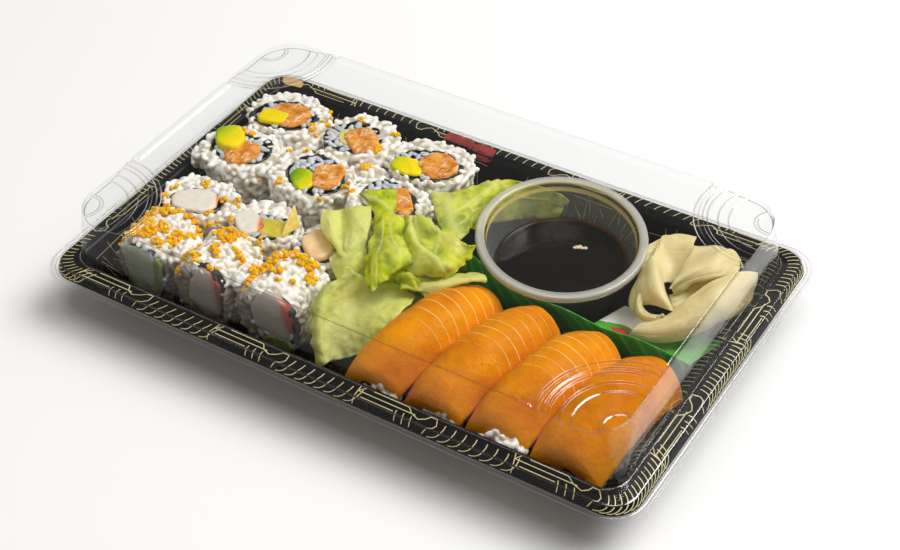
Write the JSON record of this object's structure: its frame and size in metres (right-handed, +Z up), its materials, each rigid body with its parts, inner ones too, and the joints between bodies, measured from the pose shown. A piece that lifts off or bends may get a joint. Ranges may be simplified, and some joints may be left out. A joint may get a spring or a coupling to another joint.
{
  "type": "takeaway sushi tray",
  "caption": "Black gold-lined takeaway tray under a clear fitted lid, with sushi rolls, salmon nigiri, lettuce, pickled ginger and an open cup of soy sauce.",
  "frame": {"origin": "on the table under the middle of the tray", "axes": "+X along the long side towards the nigiri and the sauce cup, +Y to the back where the cup stands, +Z up"},
  "size_m": [0.2504, 0.1522, 0.0464],
  "materials": {
    "black_tray": "glossy black formed sheet",
    "gold_print": "thin gold line print on the tray",
    "clear_lid": "thin clear formed plastic",
    "cup_plastic": "thin translucent plastic",
    "soy_sauce": "dark liquid with a mirror surface",
    "roll_rice": "moist cooked rice with a wet sheen",
    "nigiri_rice": "moist cooked rice",
    "nori": "black seaweed",
    "salmon": "raw salmon with a wet sheen and pale fat lines",
    "avocado": "ripe avocado",
    "crab_stick": "white crab stick with a red edge",
    "roe": "small orange roe",
    "lettuce": "crisp leaf with pale ribs",
    "pickled_ginger": "thin moist slices",
    "divider_green": "dark green leaf with pale veins",
    "sachet_film": "printed film",
    "omelette": "thin yellow flake"
  },
  "bodies": {
    "root": {"ginger_front": "pickled_ginger", "ginger_hump": "pickled_ginger", "ginger_left": "pickled_ginger", "ginger_top": "pickled_ginger", "leaf_divider": "divider_green", "lettuce_back": "lettuce", "lettuce_front": "lettuce", "lettuce_left": "lettuce", "lettuce_low": "lettuce", "lettuce_mid": "lettuce", "lid": "clear_lid", "nigiri_rice_1": "nigiri_rice", "nigiri_rice_2": "nigiri_rice", "nigiri_rice_3": "nigiri_rice", "nigiri_rice_4": "nigiri_rice", "omelette_flake": "omelette", "roll_crab_1": "roll_rice", "roll_crab_2": "roll_rice", "roll_crab_3": "roll_rice", "roll_crab_4": "roll_rice", "roll_crab_5": "roll_rice", "roll_crab_6": "roll_rice", "roll_salmon_1": "roll_rice", "roll_salmon_2": "roll_rice", "roll_salmon_3": "roll_rice", "roll_salmon_4": "roll_rice", "roll_salmon_5": "roll_rice", "roll_salmon_6": "roll_rice", "sachet": "sachet_film", "salmon_1": "salmon", "salmon_2": "salmon", "salmon_3": "salmon", "salmon_4": "salmon", "sauce_cup": "cup_plastic", "soy_sauce": "soy_sauce", "tray": "black_tray"}
  },
  "joints": []
}
